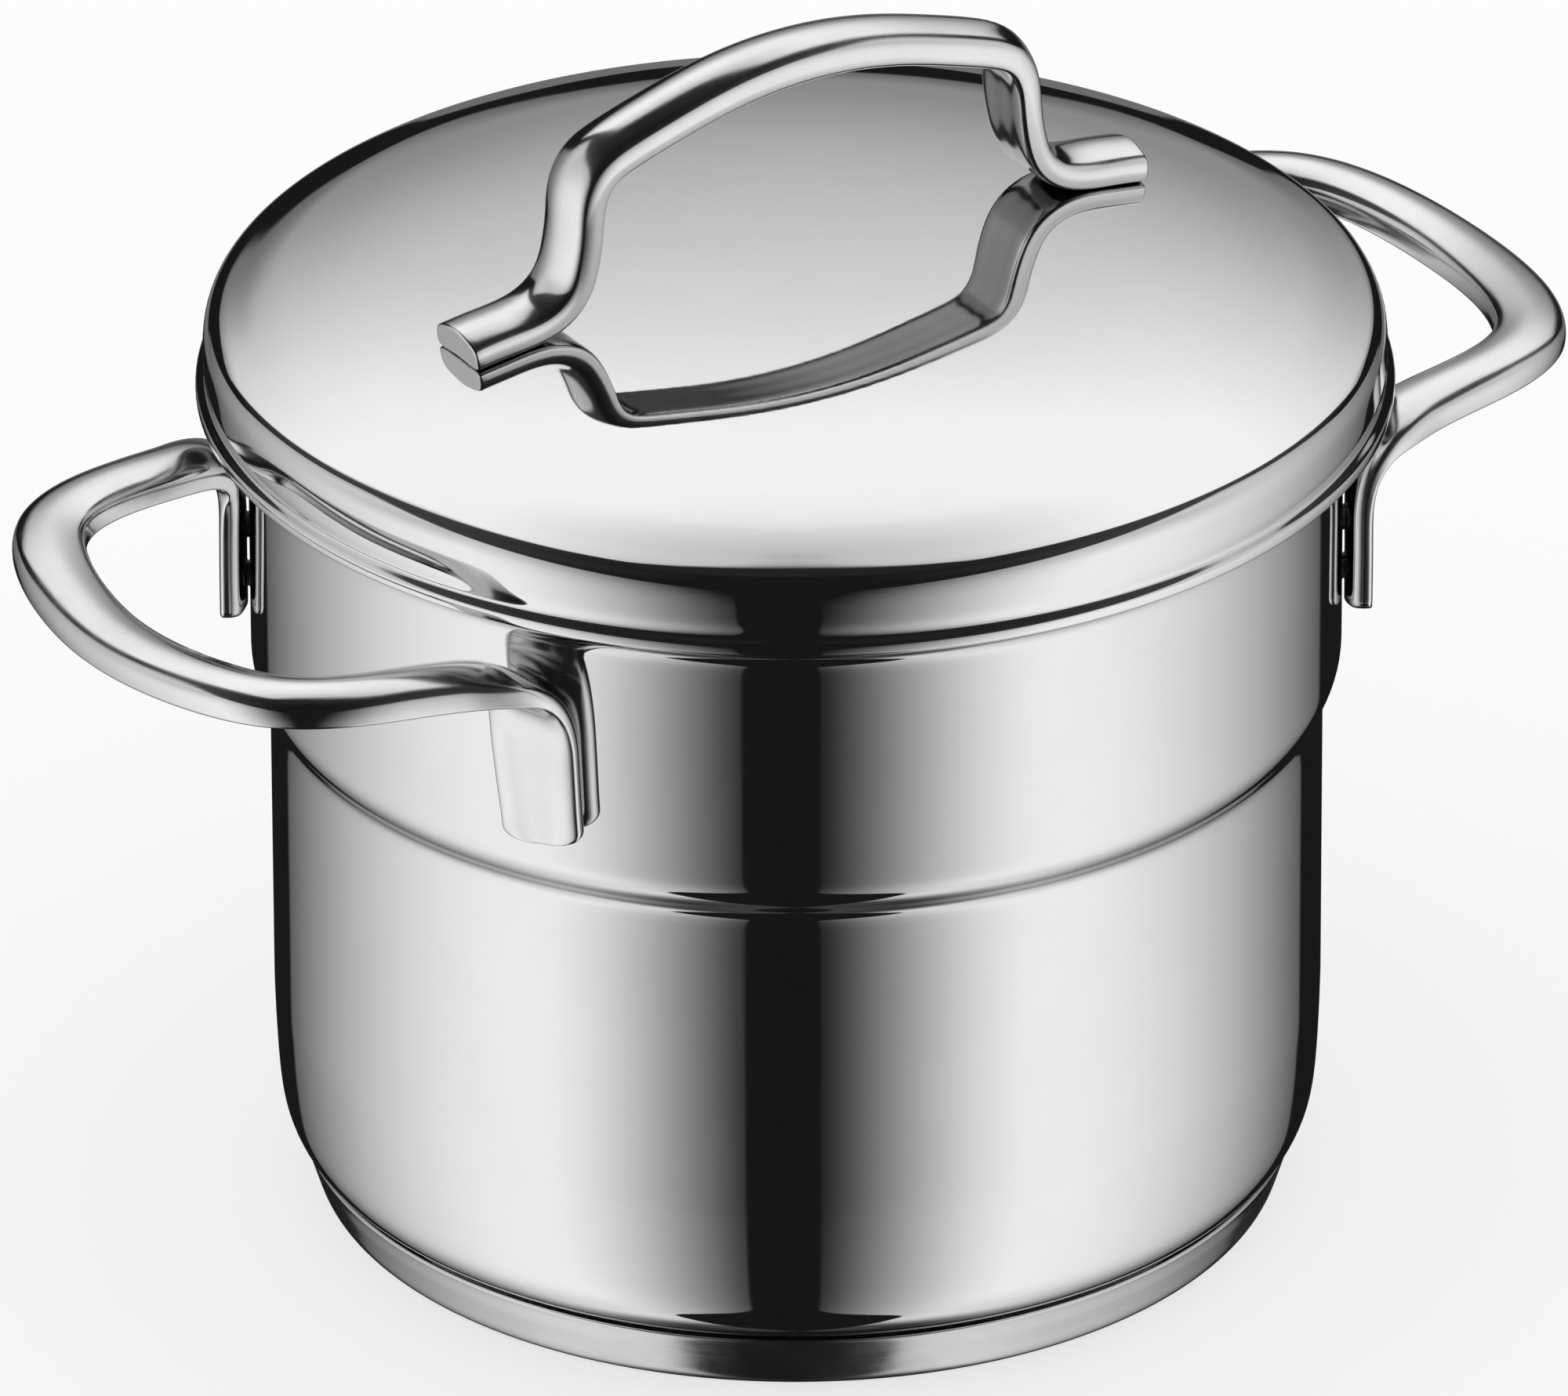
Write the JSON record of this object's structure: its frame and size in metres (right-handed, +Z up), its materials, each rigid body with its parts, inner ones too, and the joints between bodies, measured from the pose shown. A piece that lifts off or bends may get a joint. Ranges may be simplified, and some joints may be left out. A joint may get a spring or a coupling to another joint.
{
  "type": "stockpot",
  "caption": "Small steel stockpot with loop side handles, a stepped wall, a flared pouring lip, a capsule base and a loose domed lid with an arched handle.",
  "frame": {"origin": "centre of the flat face that the pot stands on", "axes": "+Z up along the pot's axis, +X along the line through both side handles"},
  "size_m": [0.1852, 0.133, 0.1404],
  "materials": {
    "shell": "mirror-polished stainless steel",
    "lid": "mirror-polished stainless steel",
    "cap": "finely turned stainless steel",
    "core": "plain sheet",
    "bar": "satin-polished stainless steel",
    "lid_bar": "satin-polished stainless steel",
    "weld": "dull welded steel"
  },
  "bodies": {
    "pot": {"pot_body": "shell", "base_core": "core", "base_cap": "cap", "handle_left": "bar", "handle_right": "bar", "handle_right_weld_1": "weld", "handle_right_weld_2": "weld", "handle_right_weld_3": "weld", "handle_right_weld_4": "weld", "handle_left_weld_1": "weld", "handle_left_weld_2": "weld", "handle_left_weld_3": "weld", "handle_left_weld_4": "weld"},
    "lid": {"lid_shell": "lid", "lid_handle": "lid_bar", "lid_weld_1": "weld", "lid_weld_2": "weld", "lid_weld_3": "weld", "lid_weld_4": "weld"}
  },
  "joints": [
    {"name": "lid_lift", "type": "slide", "parent": "pot", "child": "lid", "axis": [0, 0, 1], "range_m": [0, 0.15]}
  ]
}
